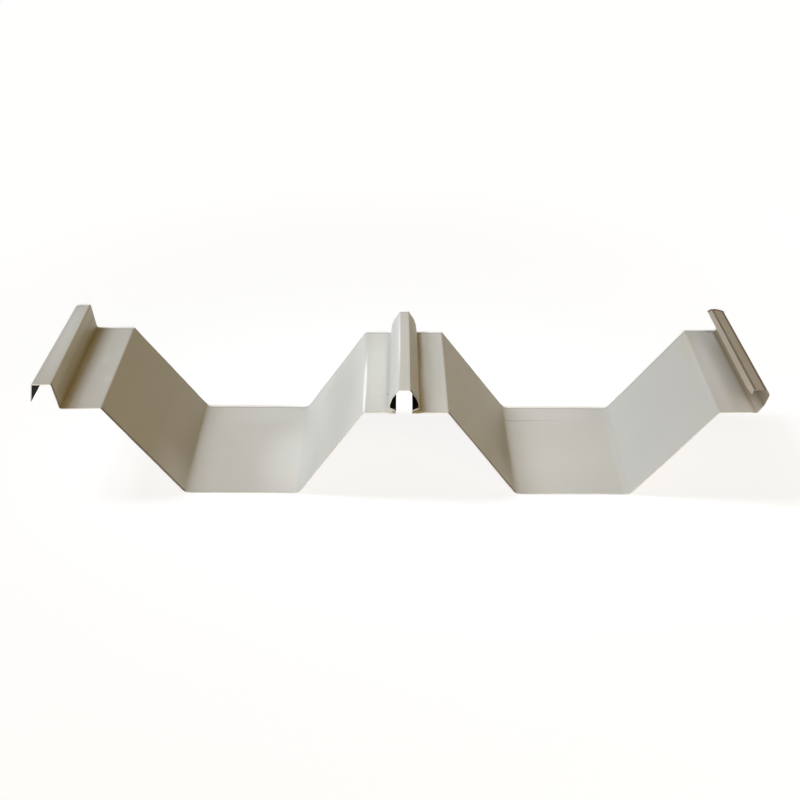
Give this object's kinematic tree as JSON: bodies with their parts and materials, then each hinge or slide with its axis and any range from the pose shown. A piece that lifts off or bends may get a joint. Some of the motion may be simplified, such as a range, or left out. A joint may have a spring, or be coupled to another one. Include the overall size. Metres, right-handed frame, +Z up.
{
  "type": "steel roof decking sheet",
  "caption": "Short length of coated steel roof decking with deep trapezoid troughs, a hollow bulb rib, a cap rib on one side and a hooked rib on the other.",
  "frame": {"origin": "bottom centre of the bounding box, on the floor that the troughs lie on", "axes": "+X across the sheet towards the hooked rib, +Y along the sheet, +Z up"},
  "size_m": [0.6984, 0.17, 0.123],
  "materials": {
    "coated_steel": "off-white satin coil coating, grey-beige backing coat underneath"
  },
  "bodies": {
    "root": {"decking_sheet": "coated_steel"}
  },
  "joints": []
}
